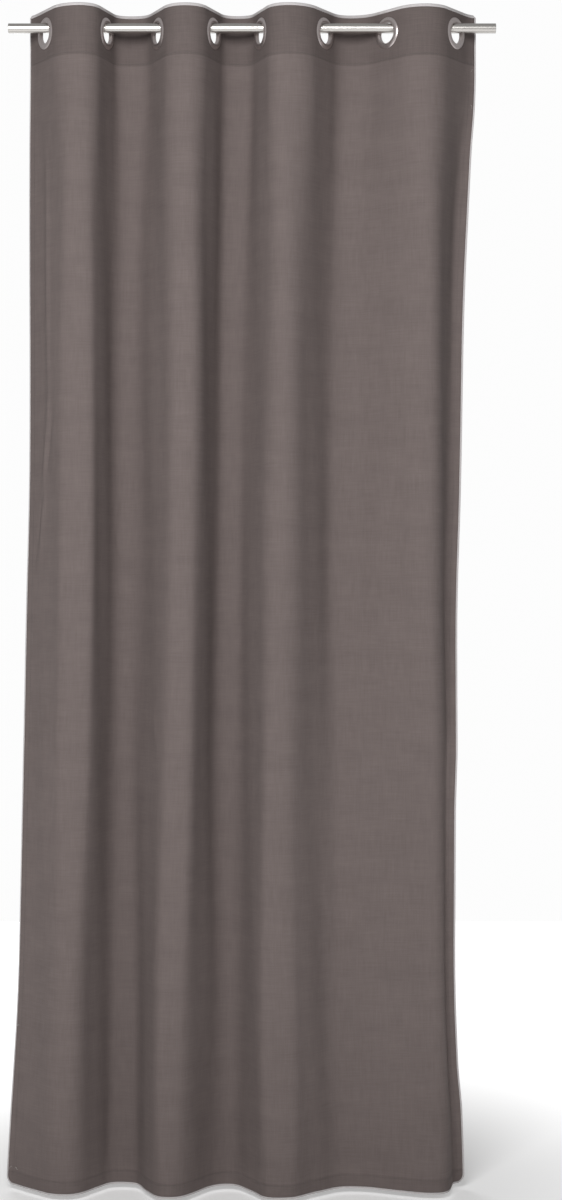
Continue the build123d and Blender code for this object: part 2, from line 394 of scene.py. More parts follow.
    def crease_line(self, start, end, half_width, height):
        """A crease given on the hanging panel, moved to the flat cloth."""
        ends = []
        for across, down in (start, end):
            z = self.top + (self.bottom - self.top) * down
            row = self.look_up(self.table_x, self.flat, np.full_like(self.flat, z))
            inside = (self.flat >= 0) & (self.flat <= self.width)
            wanted = row[inside][0] + (row[inside][-1] - row[inside][0]) * across
            ends.append((float(self.flat[inside][np.argmin(np.abs(row[inside] - wanted))]), z))
        return ends[0], ends[1], half_width * MM, height * MM

    def relief(self, u, z):
        """How far soft creases move the cloth along its own normal."""
        moved = np.zeros(np.broadcast(u, z).shape)
        for (u0, z0), (u1, z1), half_width, height in self.creases:
            run_u, run_z = u1 - u0, z1 - z0
            length = math.hypot(run_u, run_z)
            along = ((u - u0) * run_u + (z - z0) * run_z) / length
            across = ((u - u0) * run_z - (z - z0) * run_u) / length
            share = np.clip(along / length, -0.5, 1.5)
            fade = np.clip(1 - (2 * share - 1) ** 2, 0, 1)
            moved -= height * fade * np.exp(-((across / half_width) ** 2))
        low = np.clip((self.heading_low - z) / 0.12, 0, 1)
        drift = np.sin(u * 41.0 + 1.3) * np.sin(z * 7.3 + 0.4) + 0.6 * np.sin(u * 83.0 + z * 5.1)
        moved += 0.9 * MM * drift
        pucker = np.sin(u * 190.0 + 2.0 * np.sin(u * 37.0))
        near_hem = np.exp(-(((z - self.hem_high) / 0.016) ** 2))
        moved += 0.35 * MM * pucker * near_hem
        return moved * low

    def corner(self, u, z):
        """Pull the flat cloth in at its two rounded lower corners."""
        radius = sizes().corner_radius
        rise = np.clip(radius - (z - self.bottom), 0, radius)
        inset = radius - np.sqrt(np.maximum(radius * radius - rise * rise, 0))
        reach = 0.06
        left = np.clip(1 - u / reach, 0, 1.2)
        right = np.clip(1 - (self.width - u) / reach, 0, 1.2)
        return u + inset * left - inset * right

    def place(self, u, z, offset, rounded=True):
        """Points in space for flat places and offsets behind the middle line."""
        u, z, offset = (np.asarray(value, float) for value in np.broadcast_arrays(u, z, offset))
        if rounded:
            u = self.corner(u, z)
        heading = self.look_up(self.table_heading, u, z)
        back = offset + self.relief(u, z)
        x = self.look_up(self.table_x, u, z) - np.sin(heading) * back
        y = self.look_up(self.table_y, u, z) + np.cos(heading) * back
        return np.stack([x, y, z], axis=-1)


# ---------------------------------------------------------------- mesh helpers


def add_mesh(name, points, faces, smooth=True):
    """A new mesh object from arrays of points and faces."""
    mesh = bpy.data.meshes.new(name)
    mesh.from_pydata(np.asarray(points, float).reshape(-1, 3).tolist(), [], faces)
    mesh.validate()
    mesh.update()
    if smooth:
        mesh.polygons.foreach_set("use_smooth", np.ones(len(mesh.polygons), bool))
    thing = bpy.data.objects.new(name, mesh)
    bpy.context.scene.collection.objects.link(thing)
    return thing


def add_flat_place(thing, u, z, painted_shade_mask=None):
    """Keep each point's flat place, in metres, for the weave, and the strength of the painted shade that
    darkens doubled cloth.
    """
    flat = np.stack([u, z, np.zeros_like(u)], axis=-1).astype(np.float32)
    thing.data.attributes.new("flat_place", "FLOAT_VECTOR", "POINT").data.foreach_set("vector", flat.ravel())
    if painted_shade_mask is not None:
        layer = thing.data.attributes.new("painted_shade_mask", "FLOAT", "POINT")
        layer.data.foreach_set("value", np.asarray(painted_shade_mask, np.float32))


def ring_walls(quads):
    """Edges used by one quad only, each in that quad's direction."""
    starts = quads.ravel()
    ends = np.roll(quads, -1, axis=1).ravel()
    used = {}
    for a, b in zip(starts.tolist(), ends.tolist()):
        key = (a, b) if a < b else (b, a)
        used[key] = None if key in used else (a, b)
    return [edge for edge in used.values() if edge]


def sheet_mesh(name, panel, columns, rows, holes=0.0, painted_shade_mask=None):
    """A closed sheet over flat columns and rows.

    A row is (z, offset, half thickness, up part and back part of the outward normal). Holes are cut at the
    eyelets with the given radius.
    """
    column_count, row_count = len(columns), len(rows)
    row = np.array(rows)
    u = np.tile(columns, (row_count, 1))
    z = np.repeat(row[:, 0:1], column_count, axis=1)
    keep = np.ones((row_count - 1, column_count - 1), bool)
    if holes:
        for centre_u, centre_z in zip(panel.flat_eyelets, panel.ring_z):
            away_u, away_z = u - centre_u, z - centre_z
            away = np.hypot(away_u, away_z)
            inside = away < holes
            cut = inside[:-1, :-1] | inside[1:, :-1] | inside[:-1, 1:] | inside[1:, 1:]
            keep &= ~cut
            near = np.zeros_like(inside)
            for down in (0, 1):
                for right in (0, 1):
                    near[down : row_count - 1 + down, right : column_count - 1 + right] |= cut
            rim = near & ~inside
            pull = np.where(rim, holes / np.maximum(away, 1e-9), 1.0)
            u = np.where(rim, centre_u + away_u * pull, u)
            z = np.where(rim, centre_z + away_z * pull, z)
    half, normal_up, normal_back = (row[:, part : part + 1] for part in (2, 3, 4))
    outer = panel.place(u, z + half * normal_up, row[:, 1:2] + half * normal_back)
    inner = panel.place(u, z - half * normal_up, row[:, 1:2] - half * normal_back)
    index = np.arange(row_count * column_count).reshape(row_count, column_count)
    quads = np.stack([index[:-1, :-1], index[1:, :-1], index[1:, 1:], index[:-1, 1:]], axis=-1)[keep]
    back = quads[:, ::-1] + row_count * column_count
    shift = row_count * column_count
    walls = [(b, a, a + shift, b + shift) for a, b in ring_walls(quads)]
    points = np.concatenate([outer.reshape(-1, 3), inner.reshape(-1, 3)])
    used = np.zeros(len(points), bool)
    used[quads.ravel()] = True
    used[back.ravel()] = True
    number = np.cumsum(used) - 1
    faces = number[np.concatenate([quads, back])].tolist()
    faces += [[int(number[point]) for point in wall] for wall in walls]
    thing = add_mesh(name, points[used], faces)
    length_down = np.concatenate([[0.0], np.cumsum(np.hypot(np.diff(row[:, 0]), np.diff(row[:, 1])))])
    down = np.repeat(length_down[:, None], column_count, axis=1)
    # Painted shade: a mask, row by row, for darkening the doubled cloth where less light shines through it
    painted_shade_mask = np.zeros(row_count) if painted_shade_mask is None else np.asarray(painted_shade_mask)
    masks = np.repeat(painted_shade_mask[:, None], column_count, axis=1)
    flat_u = np.concatenate([u.ravel(), u.ravel()])[used]
    flat_z = np.concatenate([down.ravel(), down.ravel()])[used]
    add_flat_place(thing, flat_u, flat_z, np.concatenate([masks.ravel(), masks.ravel()])[used])
    return thing


def flat_columns(panel):
    spacing = 4.4 * MM
    return np.linspace(0.0, panel.width, round(panel.width / spacing) + 1)


def stops(low, high, spacing):
    """Even stops from low to high, both included."""
    return np.linspace(low, high, max(2, round(abs(high - low) / spacing) + 1))


def finish_piece(thing, nodes, material):
    """Give a soft piece its material, its solids and its movement."""
    thing.data.materials.append(material)
    if nodes:
        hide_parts(*nodes)
    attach(thing, "fold_1")
    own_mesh(thing)
    return thing


# ---------------------------------------------------------------- materials


def new_group(name, inputs, outputs):
    """A shader node group with the given sockets; returns the group and its two end nodes."""
    group = bpy.data.node_groups.new(name, "ShaderNodeTree")
    for label, kind, default in inputs:
        socket = group.interface.new_socket(label, in_out="INPUT", socket_type=kind)
        if default is not None:
            socket.default_value = default
    for label, kind in outputs:
        group.interface.new_socket(label, in_out="OUTPUT", socket_type=kind)
    return group, group.nodes.new("NodeGroupInput"), group.nodes.new("NodeGroupOutput")


def add_node(tree, kind, **settings):
    node = tree.nodes.new(kind)
    for name, value in settings.items():
        setattr(node, name, value)
    return node


def wire(tree, source, target):
    tree.links.new(source, target)


def set_inputs(node, values):
    """Give sockets of a node their constants."""
    for label, value in values.items():
        node.inputs[label].default_value = value


def noise_node(tree, place, values):
    """Soft noise laid over a place; returns its strength."""
    node = add_node(tree, "ShaderNodeTexNoise", noise_dimensions="3D")
    set_inputs(node, values)
    wire(tree, place, node.inputs["Vector"])
    return node.outputs["Fac"]


def math_node(tree, operation, first, second=None, third=None):
    """A math node fed by sockets or numbers; returns its result."""
    node = add_node(tree, "ShaderNodeMath", operation=operation)
    for slot_number, value in enumerate((first, second, third)):
        if value is None:
            continue
        if isinstance(value, (int, float)):
            node.inputs[slot_number].default_value = value
        else:
            wire(tree, value, node.inputs[slot_number])
    return node.outputs[0]


def weave_group():
    """Plain weave: crossing threads as a height and a shade, from the flat place of the cloth."""
    name = "Plain weave"
    if name in bpy.data.node_groups:
        return bpy.data.node_groups[name]
    group, ends_in, ends_out = new_group(
        name,
        [
            ("Place", "NodeSocketVector", None),
            ("Pitch", "NodeSocketFloat", 0.001),
            ("Unevenness", "NodeSocketFloat", 0.3),
        ],
        [("Height", "NodeSocketFloat"), ("Shade", "NodeSocketFloat")],
    )
    place = add_node(group, "ShaderNodeSeparateXYZ")
    wire(group, ends_in.outputs["Place"], place.inputs[0])
    turns = math_node(group, "DIVIDE", math.pi, ends_in.outputs["Pitch"])
    jitter = noise_node(group, ends_in.outputs["Place"], {"Scale": 160.0, "Detail": 2.0})
    lean = math_node(group, "MULTIPLY", jitter, ends_in.outputs["Unevenness"])
    warp = math_node(group, "ADD", math_node(group, "MULTIPLY", place.outputs[0], turns), lean)
    weft = math_node(group, "ADD", math_node(group, "MULTIPLY", place.outputs[1], turns), lean)
    ribs = math_node(group, "MULTIPLY", math_node(group, "SINE", warp), math_node(group, "SINE", weft))
    over = math_node(group, "MULTIPLY_ADD", ribs, 0.5, 0.5)
    rounded = math_node(group, "ABSOLUTE", math_node(group, "SINE", math_node(group, "MULTIPLY", warp, 2.0)))
    height = math_node(group, "MULTIPLY_ADD", rounded, 0.35, over)
    wire(group, height, ends_out.inputs["Height"])
    wire(group, math_node(group, "MULTIPLY_ADD", over, 0.5, 0.5), ends_out.inputs["Shade"])
    return group


def slub_group():
    """Slubs and cloudy unevenness: faint streaks along both threads of the cloth."""
    name = "Slub streaks"
    if name in bpy.data.node_groups:
        return bpy.data.node_groups[name]
    group, ends_in, ends_out = new_group(
        name,
        [("Place", "NodeSocketVector", None), ("Strength", "NodeSocketFloat", 0.05)],
        [("Shade", "NodeSocketFloat"), ("Streak", "NodeSocketFloat")],
    )
    total = None
    for stretch, scale, share in (
        ((1.0, 0.045, 1.0), 420.0, 0.9),
        ((0.045, 1.0, 1.0), 420.0, 1.0),
        ((1.0, 0.2, 1.0), 90.0, 0.5),
        ((0.25, 1.0, 1.0), 26.0, 0.7),
    ):
        stretched = add_node(group, "ShaderNodeVectorMath", operation="MULTIPLY")
        wire(group, ends_in.outputs["Place"], stretched.inputs[0])
        stretched.inputs[1].default_value = stretch
        grain = {"Scale": scale, "Detail": 3.0, "Roughness": 0.55}
        cloud = noise_node(group, stretched.outputs[0], grain)
        centred = math_node(group, "MULTIPLY", math_node(group, "SUBTRACT", cloud, 0.5), share)
        total = centred if total is None else math_node(group, "ADD", total, centred)
    shade = math_node(group, "MULTIPLY_ADD", total, ends_in.outputs["Strength"], 1.0)
    wire(group, shade, ends_out.inputs["Shade"])
    wire(group, total, ends_out.inputs["Streak"])
    return group


def place_group(tree, group, **inputs):
    node = add_node(tree, "ShaderNodeGroup", node_tree=group)
    for name, value in inputs.items():
        node.inputs[name.capitalize()].default_value = value
    return node


def new_material(name, roughness, metallic=0.0):
    material = bpy.data.materials.new(name)
    material.use_nodes = True
    shader = material.node_tree.nodes["Principled BSDF"]
    set_inputs(shader, {"Roughness": roughness, "Metallic": metallic})
    return material, material.node_tree, shader


def tinted(tree, colour, shade):
    """A colour multiplied by a shade value."""
    scaled = add_node(tree, "ShaderNodeVectorMath", operation="SCALE")
    scaled.inputs[0].default_value = tuple(colour)
    wire(tree, shade, scaled.inputs["Scale"])
    return scaled.outputs[0]


def raise_surface(tree, shader, height, strength):
    """Let a height stand out of the surface."""
    raised = add_node(tree, "ShaderNodeBump")
    set_inputs(raised, {"Strength": strength, "Distance": BUMP_DEPTH})
    wire(tree, height, raised.inputs["Height"])
    wire(tree, raised.outputs["Normal"], shader.inputs["Normal"])


def woven_material(name, colour, pitch, streaks, bump, sheen, painted_doubled_shade=None):
    """Matte woven cloth; where it is doubled it may get painted shade, a darker colour standing in for the
    light that no longer shines through it.
    """
    material, tree, shader = new_material(name, 0.92)
    set_inputs(shader, {"Specular IOR Level": 0.1, "Sheen Weight": sheen, "Sheen Roughness": 0.55})
    place = add_node(tree, "ShaderNodeAttribute", attribute_name="flat_place")
    weave = place_group(tree, weave_group(), pitch=pitch, unevenness=0.8)
    slubs = place_group(tree, slub_group(), strength=streaks)
    wire(tree, place.outputs["Vector"], weave.inputs["Place"])
    wire(tree, place.outputs["Vector"], slubs.inputs["Place"])
    thread_shade = math_node(tree, "MULTIPLY_ADD", weave.outputs["Shade"], 0.16, 0.88)
    shade = math_node(tree, "MULTIPLY", thread_shade, slubs.outputs["Shade"])
    # Painted shade: the doubled cloth is darkened, standing in for the light that shines through single cloth
    # only
    if painted_doubled_shade is not None:
        painted_shade_mask = add_node(tree, "ShaderNodeAttribute", attribute_name="painted_shade_mask")
        darker = math_node(tree, "MULTIPLY_ADD", painted_shade_mask.outputs["Fac"], painted_doubled_shade - 1.0, 1.0)
        shade = math_node(tree, "MULTIPLY", shade, darker)
    wire(tree, tinted(tree, colour, shade), shader.inputs["Base Color"])
    relief = math_node(tree, "MULTIPLY_ADD", slubs.outputs["Streak"], 0.5, weave.outputs["Height"])
    raise_surface(tree, shader, relief, bump)
    return material


def thread_material(name, colour):
    """Twisted sewing thread."""
    material, tree, shader = new_material(name, 0.7)
    shader.inputs["Sheen Weight"].default_value = 0.15
    place = add_node(tree, "ShaderNodeAttribute", attribute_name="flat_place")
    twist = add_node(tree, "ShaderNodeTexWave", wave_type="BANDS", bands_direction="DIAGONAL")
    set_inputs(twist, {"Scale": 900.0, "Distortion": 1.0})
    wire(tree, place.outputs["Vector"], twist.inputs["Vector"])
    shade = math_node(tree, "MULTIPLY_ADD", twist.outputs["Fac"], 0.25, 0.85)
    wire(tree, tinted(tree, colour, shade), shader.inputs["Base Color"])
    raise_surface(tree, shader, twist.outputs["Fac"], 0.3)
    return material


def brushed_material(name, colour, roughness, metallic, stretch, scratch):
    """Satin metal with fine brush lines that run one way."""
    material, tree, shader = new_material(name, roughness, metallic)
    place = add_node(tree, "ShaderNodeTexCoord")
    stretched = add_node(tree, "ShaderNodeVectorMath", operation="MULTIPLY")
    stretched.inputs[1].default_value = stretch
    wire(tree, place.outputs["Object"], stretched.inputs[0])
    lines = noise_node(tree, stretched.outputs[0], {"Scale": 900.0, "Detail": 4.0})
    haze = noise_node(tree, place.outputs["Object"], {"Scale": 38.0, "Detail": 3.0})
    rough = math_node(tree, "MULTIPLY_ADD", lines, 0.14, roughness - 0.07)
    middle = math_node(tree, "SUBTRACT", rough, 0.04)
    rough = math_node(tree, "MULTIPLY_ADD", haze, 0.08, middle)
    wire(tree, rough, shader.inputs["Roughness"])
    shade = math_node(tree, "MULTIPLY_ADD", lines, 0.08, 0.96)
    wire(tree, tinted(tree, colour, shade), shader.inputs["Base Color"])
    raise_surface(tree, shader, lines, scratch)
    return material


# ---------------------------------------------------------------- pieces


the_panel = {}


def panel():
    """The laid-out cloth, worked out once."""
    if "laid" not in the_panel:
        the_panel["laid"] = Panel()
    return the_panel["laid"]


def seam_heights(cloth):
    return cloth.heading_low + sizes().seam_inset, cloth.hem_high - sizes().seam_inset


def front_rows(cloth):
    """Heights down the front of the cloth, close together at the seams."""
    seam_high, seam_low = seam_heights(cloth)
    radius = LAYER_MIDDLE
    body = PLAIN
    heights = np.concatenate(
        [
            stops(cloth.top - PLY / 2 - radius, seam_high + 6 * MM, CLOSE),
            stops(seam_high + 4 * MM, seam_high - 8 * MM, FINE),
            stops(seam_high - 12 * MM, seam_low + 12 * MM, body),
            stops(seam_low + 8 * MM, seam_low - 4 * MM, FINE),
            stops(seam_low - 6 * MM, cloth.bottom + PLY / 2 + radius, 4.0 * MM),
        ]
    )
    return heights


def press(cloth, z):
    """How far a seam presses a layer towards the middle line."""
    pressed = 0.0
    for seam in seam_heights(cloth):
        pressed += 0.55 * MM * math.exp(-(((z - seam) / (2.2 * MM)) ** 2))
    return pressed


def cloth_rows(cloth):
    """The cloth's path from the heading's turned edge, over the top, down the front and up behind the hem."""
    half = sizes().ply / 2
    radius = LAYER_MIDDLE

    def turned(centre, angle):
        across, up = math.cos(angle), math.sin(angle)
        return centre + radius * up, radius * across, half, up, across

    arc_top = cloth.top - half - radius
    arc_bottom = cloth.bottom + half + radius
    rows = []
    seam_high, seam_low = seam_heights(cloth)
    for z in np.concatenate(
        [stops(cloth.heading_low, seam_high + 4 * MM, FINE), stops(seam_high + 9 * MM, arc_top, CLOSE)]
    ):
        rows.append((z, radius - press(cloth, z), half, 0.0, 1.0))
    for angle in np.linspace(0, math.pi, 7)[1:-1]:
        rows.append(turned(arc_top, angle))
    for z in front_rows(cloth):
        rows.append((z, -radius + press(cloth, z), half, 0.0, -1.0))
    for angle in np.linspace(math.pi, 2 * math.pi, 7)[1:-1]:
        rows.append(turned(arc_bottom, angle))
    for z in np.concatenate(
        [stops(arc_bottom, seam_low - 4 * MM, 4.0 * MM), stops(seam_low - 2 * MM, cloth.hem_high, FINE)]
    ):
        rows.append((z, radius - press(cloth, z), half, 0.0, 1.0))
    return rows


class CURTAIN_OT_cloth(bpy.types.Operator):
    """Build the gathered face cloth, turned over at the heading and at the bottom hem"""

    bl_idname = "curtain.cloth"
    bl_label = "Face cloth"

    EDGE_SLACK = 0.5 * MM
    # Share of the heading's painted shade that the doubled bottom hem gets
    HEM_PAINTED_SHADE = 0.45

    def painted_shade_at(self, cloth, z):
        """Strength of the painted shade at a height: full in the doubled heading, less in the doubled bottom
        hem.
        """
        if z >= cloth.heading_low - self.EDGE_SLACK:
            return 1.0
        return self.HEM_PAINTED_SHADE if z <= cloth.hem_high + self.EDGE_SLACK else 0.0

    def execute(self, context):
        cloth = panel()
        rows = cloth_rows(cloth)
        painted_shade_mask = [self.painted_shade_at(cloth, row[0]) for row in rows]
        thing = sheet_mesh("curtain_cloth", cloth, flat_columns(cloth), rows, holes=CUT_HOLE, painted_shade_mask=painted_shade_mask)
        # The doubled heading and bottom hem get painted shade, a darker colour for the light that does not
        # shine through them
        material = woven_material(
            "Taupe cloth",
            colours().cloth,
            sizes().thread_pitch,
            streaks=0.30,
            bump=0.35,
            sheen=0.02,
            painted_doubled_shade=0.84,
        )
        finish_piece(thing, node_names("face_cloth"), material)
        return {"FINISHED"}


class CURTAIN_OT_side_hems(bpy.types.Operator):
    """Build the cloth that is turned over behind both side edges"""

    bl_idname = "curtain.side_hems"
    bl_label = "Side hems"

    def execute(self, context):
        cloth = panel()
        half = sizes().ply / 2
        offset = -LAYER_MIDDLE + sizes().ply + 0.15 * MM
        heights = stops(cloth.heading_low - 0.4 * MM, cloth.hem_high + 0.4 * MM, PLAIN)
        rows = [(z, offset, half, 0.0, 1.0) for z in heights]
        width = sizes().side_hem
        material = woven_material(
            "Turned side cloth", colours().cloth, sizes().thread_pitch, streaks=0.30, bump=0.35, sheen=0.02
        )
        for name, low, high in (
            ("side_hem_fold_left", 0.0, width),
            ("side_hem_fold_right", cloth.width - width, cloth.width),
        ):
            thing = sheet_mesh(name, cloth, stops(low, high, 4.0 * MM), rows)
            node = name.replace("_fold", "")
            finish_piece(thing, [node], material)
        return {"FINISHED"}


class CURTAIN_OT_heading_tape(bpy.types.Operator):
    """Build the stiff tape inside the heading"""

    bl_idname = "curtain.heading_tape"
    bl_label = "Heading tape"

    def execute(self, context):
        cloth = panel()
        low, high = cloth.heading_low + 7.0 * MM, cloth.top - 2.4 * MM
        rows = [(z, 0.0, 0.3 * MM, 0.0, 1.0) for z in stops(high, low, CLOSE)]
        thing = sheet_mesh("stiff_heading_tape", cloth, flat_columns(cloth)[1:-1], rows, holes=CUT_HOLE)
        material = woven_material(
            "Stiff heading tape", colours().tape, pitch=1.6 * MM, streaks=0.1, bump=0.2, sheen=0.0
        )
        finish_piece(thing, node_names("heading_tape"), material)
        return {"FINISHED"}


def edge_walk(cloth):
    """Places round the cloth's edge: flat place, outward direction and which edge it is."""
    radius = sizes().corner_radius
    columns = flat_columns(cloth)
    side = np.concatenate(
        [
            stops(cloth.top, cloth.heading_low - 10 * MM, CLOSE),
            stops(cloth.heading_low - 14 * MM, cloth.bottom + radius + 2 * MM, PLAIN),
        ]
    )
    turn = np.linspace(0, math.pi / 2, 9)
    walk = [(u, cloth.top, 0.0, 1.0, "top") for u in columns[1:-1]]
    walk += [(cloth.width, z, 1.0, 0.0, "side") for z in side]
    walk += [
        (
            cloth.width - radius + radius * math.cos(angle),
            cloth.bottom + radius - radius * math.sin(angle),
            math.cos(angle),
            -math.sin(angle),
            "corner",
        )
        for angle in turn
    ]
    inner = columns[(columns > radius + 2 * MM) & (columns < cloth.width - radius - 2 * MM)]
    walk += [(u, cloth.bottom, 0.0, -1.0, "bottom") for u in inner[::-1]]
    walk += [
        (
            radius - radius * math.sin(angle),
            cloth.bottom + radius - radius * math.cos(angle),
            -math.sin(angle),
            -math.cos(angle),
            "corner",
        )
        for angle in turn
    ]
    walk += [(0.0, z, -1.0, 0.0, "side") for z in side[::-1]]
    return walk


class CURTAIN_OT_edge_binding(bpy.types.Operator):
    """Build the pale binding that is folded round all four edges"""

    bl_idname = "curtain.edge_binding"
    bl_label = "Edge binding"

    WALL = 0.35 * MM
    HOLD = 1.3 * MM
    SIDE_REACH = 3.0 * MM

    def section(self, reach, half):
        """Cross-section as (outward, back): a rounded fold of tape with the cloth's edge in its slot."""
        wall = self.WALL
        return [
            (-self.HOLD, -half),
            (reach - 1.1 * MM, -half),
            (reach - 0.4 * MM, -half * 0.8),
            (reach, -half * 0.35),
            (reach, half * 0.35),
            (reach - 0.4 * MM, half * 0.8),
            (reach - 1.1 * MM, half),
            (-self.HOLD, half),
            (-self.HOLD, half - wall),
            (0.2 * MM, half - wall),
            (0.2 * MM, -half + wall),
            (-self.HOLD, -half + wall),
        ]

    def execute(self, context):
        cloth = panel()
        points, flat_u, flat_z = [], [], []
        reaches = {
            "top": cloth.top_binding,
            "side": self.SIDE_REACH,
            "corner": self.SIDE_REACH,
            "bottom": cloth.bottom_binding,
        }
        walk = edge_walk(cloth)
        travelled = 0.0
        last = walk[0][:2]
        for u, z, out_u, out_z, edge in walk:
            travelled += math.hypot(u - last[0], z - last[1])
            last = (u, z)
            stack = max(
                float(smooth_step((z - cloth.heading_low + 6 * MM) / (8 * MM))),
                float(smooth_step((cloth.hem_high + 6 * MM - z) / (8 * MM))),
            )
            half = (1.45 + 0.6 * stack) * MM
            middle = -0.55 * (1 - stack) * MM
            for outward, back in self.section(reaches[edge], half):
                out = max(outward, -self.HOLD)
                spot = cloth.place(u + out_u * out, z + out_z * out, middle + back, rounded=False)
                points.append(spot)
                flat_u.append(travelled)
                flat_z.append(outward + back)
        ring = len(self.section(1.0, 1.0))
        count = len(walk)
        faces = []
        for step in range(count):
            this, after = step * ring, (step + 1) % count * ring
            for corner in range(ring):
                following = (corner + 1) % ring
                faces.append([this + corner, after + corner, after + following, this + following])
        thing = add_mesh("edge_binding", points, faces)
        add_flat_place(thing, np.array(flat_u), np.array(flat_z))
        material = woven_material(
            "Pale edge binding", colours().binding, pitch=0.9 * MM, streaks=0.25, bump=0.5, sheen=0.1
        )
        finish_piece(thing, node_names("edge_trim"), material)
        return {"FINISHED"}


STITCH_SIDES = 6
STITCH_RINGS = ((0.0, 0.25), (0.16, 1.0), (0.84, 1.0), (1.0, 0.25))


def stitch_points(start_u, start_z, end_u, end_z, offset, radius):
    """One stitch as a small rounded bar that dips into the cloth at both ends."""
    along = np.array([end_u - start_u, end_z - start_z])
    length = float(np.hypot(*along))
    along = along / length
    side = np.array([-along[1], along[0]])
    points = []
    for share, size in STITCH_RINGS:
        for angle in np.arange(STITCH_SIDES) * 2 * math.pi / STITCH_SIDES:
            middle = np.array([start_u, start_z]) + along * share * length
            spot = middle + side * math.cos(angle) * radius * size
            lift = radius * (size * math.sin(angle) - (0.9 if size < 1 else 0.0))
            points.append((spot[0], spot[1], offset - lift))
    return points


def tube_faces(rings, sides):
    """Faces of a closed bar whose points lie in rings."""
    faces = []
    for ring in range(rings - 1):
        this, after = ring * sides, (ring + 1) * sides
        for corner in range(sides):
            following = (corner + 1) % sides
            faces.append([this + corner, this + following, after + following, after + corner])
    faces.append(list(reversed(range(sides))))
    faces.append([(rings - 1) * sides + corner for corner in range(sides)])
    return faces


class CURTAIN_OT_stitches(bpy.types.Operator):
    """Sew the seams of the heading, the bottom hem and the side hems, one stitch at a time"""

    bl_idname = "curtain.stitches"
    bl_label = "Seam stitches"

    def execute(self, context):
        cloth = panel()
        pitch, radius = sizes().stitch_length, sizes().stitch_radius
        gap = pitch * 0.24
        seam_high, seam_low = seam_heights(cloth)
        front = -LAYER_MIDDLE - sizes().ply / 2
        flat_points = []
        for seam in (seam_high, seam_low):
            inset = 3.0 * MM
            count = int((cloth.width - 2 * inset) / pitch)
            for number in range(count):
                start = inset + number * pitch
                depth = front + press(cloth, seam) - 0.2 * radius
                flat_points.append(stitch_points(start, seam, start + pitch - gap, seam, depth, radius))
        inset = sizes().side_hem - sizes().seam_inset
        for place in (inset, cloth.width - inset):
            count = int((seam_high - seam_low - 8 * MM) / pitch)
            for number in range(count):
                start = seam_high - 4 * MM - number * pitch
                depth = front - 0.1 * radius
                flat_points.append(stitch_points(place, start, place, start - pitch + gap, depth, radius))
        stacked = np.array(flat_points).reshape(-1, 3)
        points = cloth.place(stacked[:, 0], stacked[:, 1], stacked[:, 2])
        pattern = tube_faces(len(STITCH_RINGS), STITCH_SIDES)
        per_stitch = len(STITCH_RINGS) * STITCH_SIDES
        faces = []
        for number in range(len(flat_points)):
            faces += [[point + number * per_stitch for point in face] for face in pattern]
        thing = add_mesh("seam_stitches", points, faces)
        add_flat_place(thing, stacked[:, 0], stacked[:, 1])
        material = thread_material("Sewing thread", colours().thread)
        finish_piece(thing, node_names("hem_thread"), material)
        return {"FINISHED"}


class CURTAIN_OT_thread_ends(bpy.types.Operator):
    """Leave a few short pale thread ends at the edges, as the binding's sewing does"""

    bl_idname = "curtain.thread_ends"
    bl_label = "Thread ends"

    RADIUS = 0.45 * MM
    RINGS = 9
    SIDES = 6

    def execute(self, context):
        cloth = panel()
        ends = (
            (4.0 * MM, cloth.bottom + 30.0 * MM, 7.0 * MM, 6.0 * MM),
            (24.0 * MM, cloth.bottom + 36.0 * MM, 5.0 * MM, -5.0 * MM),
            (3.0 * MM, cloth.bottom + 330.0 * MM, 6.0 * MM, 3.0 * MM),
            (cloth.width - 6.0 * MM, cloth.top - 108.0 * MM, -5.0 * MM, -7.0 * MM),
            (cloth.width - 9.0 * MM, cloth.top - 183.0 * MM, 3.0 * MM, -8.0 * MM),
        )
        points, faces = [], []
        for u, z, run_u, run_z in ends:
            first = len(points)
            for ring in range(self.RINGS):
                share = ring / (self.RINGS - 1)
                size = self.RADIUS * (1.0 - 0.55 * share)
                middle_u = u + run_u * share
                middle_z = z + run_z * share + 1.5 * MM * math.sin(share * math.pi)
                lift = 1.7 * MM + 0.9 * MM * math.sin(share * math.pi) + size
                for corner in range(self.SIDES):
                    angle = corner * 2 * math.pi / self.SIDES
                    above, behind = size * math.cos(angle), size * math.sin(angle)
                    points.append((middle_u, middle_z + above, behind - lift))
            for ring in range(self.RINGS - 1):
                for corner in range(self.SIDES):
                    following = (corner + 1) % self.SIDES
                    this, after = first + ring * self.SIDES, first + (ring + 1) * self.SIDES
                    faces.append([this + corner, after + corner, after + following, this + following])
            faces.append([first + corner for corner in range(self.SIDES)])
            final = first + (self.RINGS - 1) * self.SIDES
            faces.append([final + corner for corner in reversed(range(self.SIDES))])
        flat = np.array(points)
        thing = add_mesh("thread_ends", cloth.place(flat[:, 0], flat[:, 1], flat[:, 2]), faces)
        add_flat_place(thing, flat[:, 0], flat[:, 1])
        finish_piece(thing, [], thread_material("Pale thread ends", colours().loose_thread))
        return {"FINISHED"}


